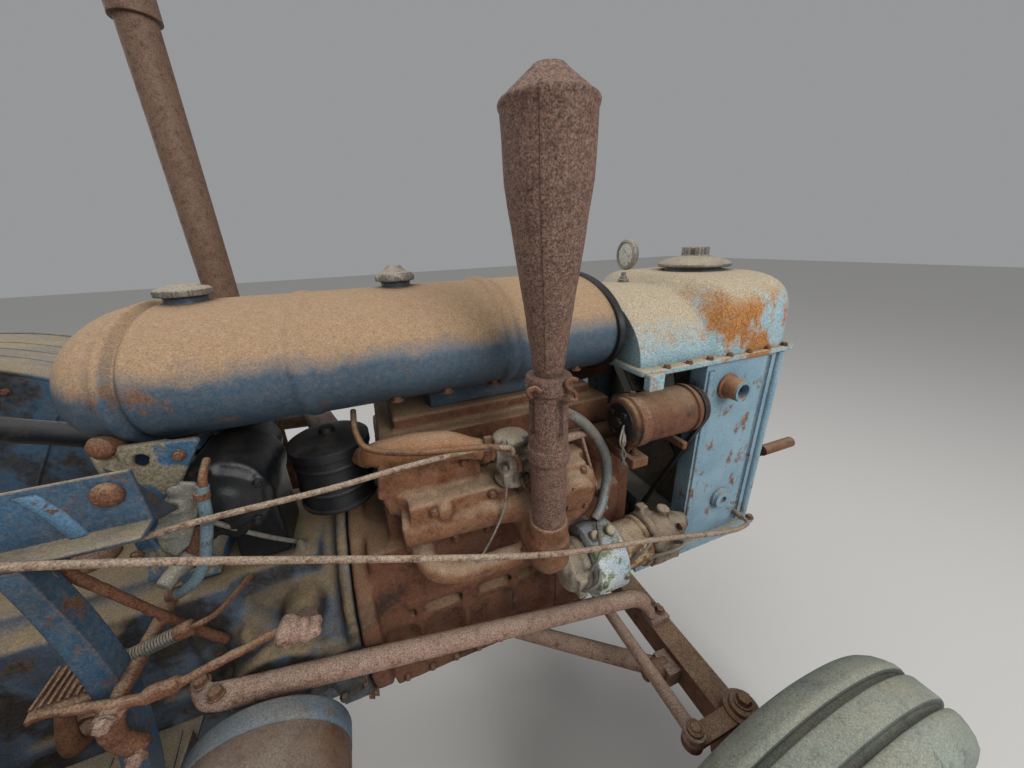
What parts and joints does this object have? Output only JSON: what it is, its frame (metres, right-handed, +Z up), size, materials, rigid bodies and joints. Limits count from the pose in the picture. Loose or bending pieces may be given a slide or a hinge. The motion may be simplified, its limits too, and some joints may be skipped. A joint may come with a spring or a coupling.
{
  "type": "vintage farm tractor",
  "caption": "Standard four-wheel farm tractor of the 1930s on rubber tyres, open engine, oval fuel tank over it, worn blue paint; wheels, steering, fan and belt pulley move.",
  "frame": {"origin": "middle of the whole length and width, on the ground", "axes": "+X forward, +Y to the tractor's left, +Z up"},
  "size_m": [2.7829, 1.595, 1.84],
  "materials": {
    "engine_rust": "rusted cast iron",
    "manifold_rust": "burnt and rusted cast iron",
    "silencer_rust": "rusted sheet steel",
    "blue_paint": "worn blue enamel",
    "pale_blue_paint": "faded pale blue enamel",
    "dusty_casing": "oily paint under dust",
    "black_iron": "oiled black",
    "rusty_steel": "rusted steel",
    "core_metal": "dusty tube and fin stack",
    "cast_grey": "dusty die casting",
    "bare_metal": "dull plated steel",
    "wheel_paint": "rusted orange paint",
    "tyre_rubber": "dusty aged rubber",
    "belt_rubber": "worn black",
    "wheel_grip": "worn black moulding"
  },
  "bodies": {
    "chassis": {"engine_block": "engine_rust", "cylinder_head": "engine_rust", "exhaust_manifold": "manifold_rust", "exhaust_stack": "silencer_rust", "carburettor": "cast_grey", "inlet_pipe": "rusty_steel", "air_cleaner": "black_iron", "intake_stack": "silencer_rust", "magneto": "blue_paint", "dynamo": "rusty_steel", "fan_belt": "belt_rubber", "radiator_tank": "pale_blue_paint", "radiator_frame": "pale_blue_paint", "radiator_core": "core_metal", "fuel_tank": "blue_paint", "caps_and_gauge": "bare_metal", "dash_casting": "blue_paint", "steering_box": "black_iron", "gearbox": "dusty_casing", "axle_housing": "dusty_casing", "drawbar": "rusty_steel", "mudguards": "blue_paint", "side_rails": "blue_paint", "platform": "blue_paint", "seat": "rusty_steel", "pedals_levers": "rusty_steel", "stay_tube": "rusty_steel", "radius_rod": "rusty_steel", "front_axle": "dusty_casing", "control_rods": "rusty_steel", "pipes": "belt_rubber", "crank_handle": "rusty_steel"},
    "steering_wheel": {"steering_wheel": "wheel_grip"},
    "drop_arm": {"drop_arm": "black_iron"},
    "drag_link": {"drag_link": "black_iron"},
    "knuckle_right": {"knuckle_right": "rusty_steel"},
    "knuckle_left": {"knuckle_left": "rusty_steel"},
    "tie_rod": {"tie_rod": "rusty_steel"},
    "front_wheel_right": {"front_rim_right": "wheel_paint", "front_tyre_right": "tyre_rubber"},
    "front_wheel_left": {"front_rim_left": "wheel_paint", "front_tyre_left": "tyre_rubber"},
    "rear_wheel_right": {"rear_rim_right": "wheel_paint", "rear_tyre_right": "tyre_rubber"},
    "rear_wheel_left": {"rear_rim_left": "wheel_paint", "rear_tyre_left": "tyre_rubber"},
    "belt_pulley": {"belt_pulley": "rusty_steel"},
    "fan": {"fan": "bare_metal"}
  },
  "joints": [
    {"name": "steer_right", "type": "hinge", "parent": "chassis", "child": "knuckle_right", "pos_m": [0.8665, -0.5, 0.455], "axis": [0, 0, 1], "range_deg": [-28, 28]},
    {"name": "steer_left", "type": "hinge", "parent": "chassis", "child": "knuckle_left", "pos_m": [0.8665, 0.5, 0.455], "axis": [0, 0, 1], "range_deg": [-29, 29]},
    {"name": "front_spin_right", "type": "hinge", "parent": "knuckle_right", "child": "front_wheel_right", "pos_m": [0.8665, -0.645, 0.36], "axis": [0, 1, 0], "continuous": true},
    {"name": "front_spin_left", "type": "hinge", "parent": "knuckle_left", "child": "front_wheel_left", "pos_m": [0.8665, 0.645, 0.36], "axis": [0, 1, 0], "continuous": true},
    {"name": "rear_spin_right", "type": "hinge", "parent": "chassis", "child": "rear_wheel_right", "pos_m": [-0.7335, -0.655, 0.555], "axis": [0, 1, 0], "continuous": true},
    {"name": "rear_spin_left", "type": "hinge", "parent": "chassis", "child": "rear_wheel_left", "pos_m": [-0.7335, 0.655, 0.555], "axis": [0, 1, 0], "continuous": true},
    {"name": "tie_rod_joint", "type": "hinge", "parent": "knuckle_right", "child": "tie_rod", "pos_m": [0.7365, -0.5, 0.505], "axis": [0, 0, 1], "range_deg": [-29, 29]},
    {"name": "drop_arm_swing", "type": "hinge", "parent": "chassis", "child": "drop_arm", "pos_m": [0.0395, 0.2, 1.047], "axis": [0, 1, 0], "range_deg": [-15, 15]},
    {"name": "drag_link_joint", "type": "hinge", "parent": "drop_arm", "child": "drag_link", "pos_m": [0.0395, 0.228, 0.827], "axis": [0, 1, 0], "range_deg": [-15, 15]},
    {"name": "steering_turn", "type": "hinge", "parent": "chassis", "child": "steering_wheel", "pos_m": [-0.45335, 0, 1.22101], "axis": [-0.9397, 0, 0.342], "range_deg": [-340, 340]},
    {"name": "pulley_spin", "type": "hinge", "parent": "chassis", "child": "belt_pulley", "pos_m": [0.0315, -0.38, 0.65], "axis": [0, 1, 0], "continuous": true},
    {"name": "fan_spin", "type": "hinge", "parent": "chassis", "child": "fan", "pos_m": [0.9665, 0, 0.93], "axis": [1, 0, 0], "continuous": true}
  ],
  "couplings": [
    {"joint": "steer_left", "follows": "steer_right", "ratio": 1},
    {"joint": "tie_rod_joint", "follows": "steer_right", "ratio": -1},
    {"joint": "drop_arm_swing", "follows": "steer_right", "ratio": -0.5},
    {"joint": "drag_link_joint", "follows": "steer_right", "ratio": 0.5},
    {"joint": "steering_turn", "follows": "steer_right", "ratio": 12}
  ]
}
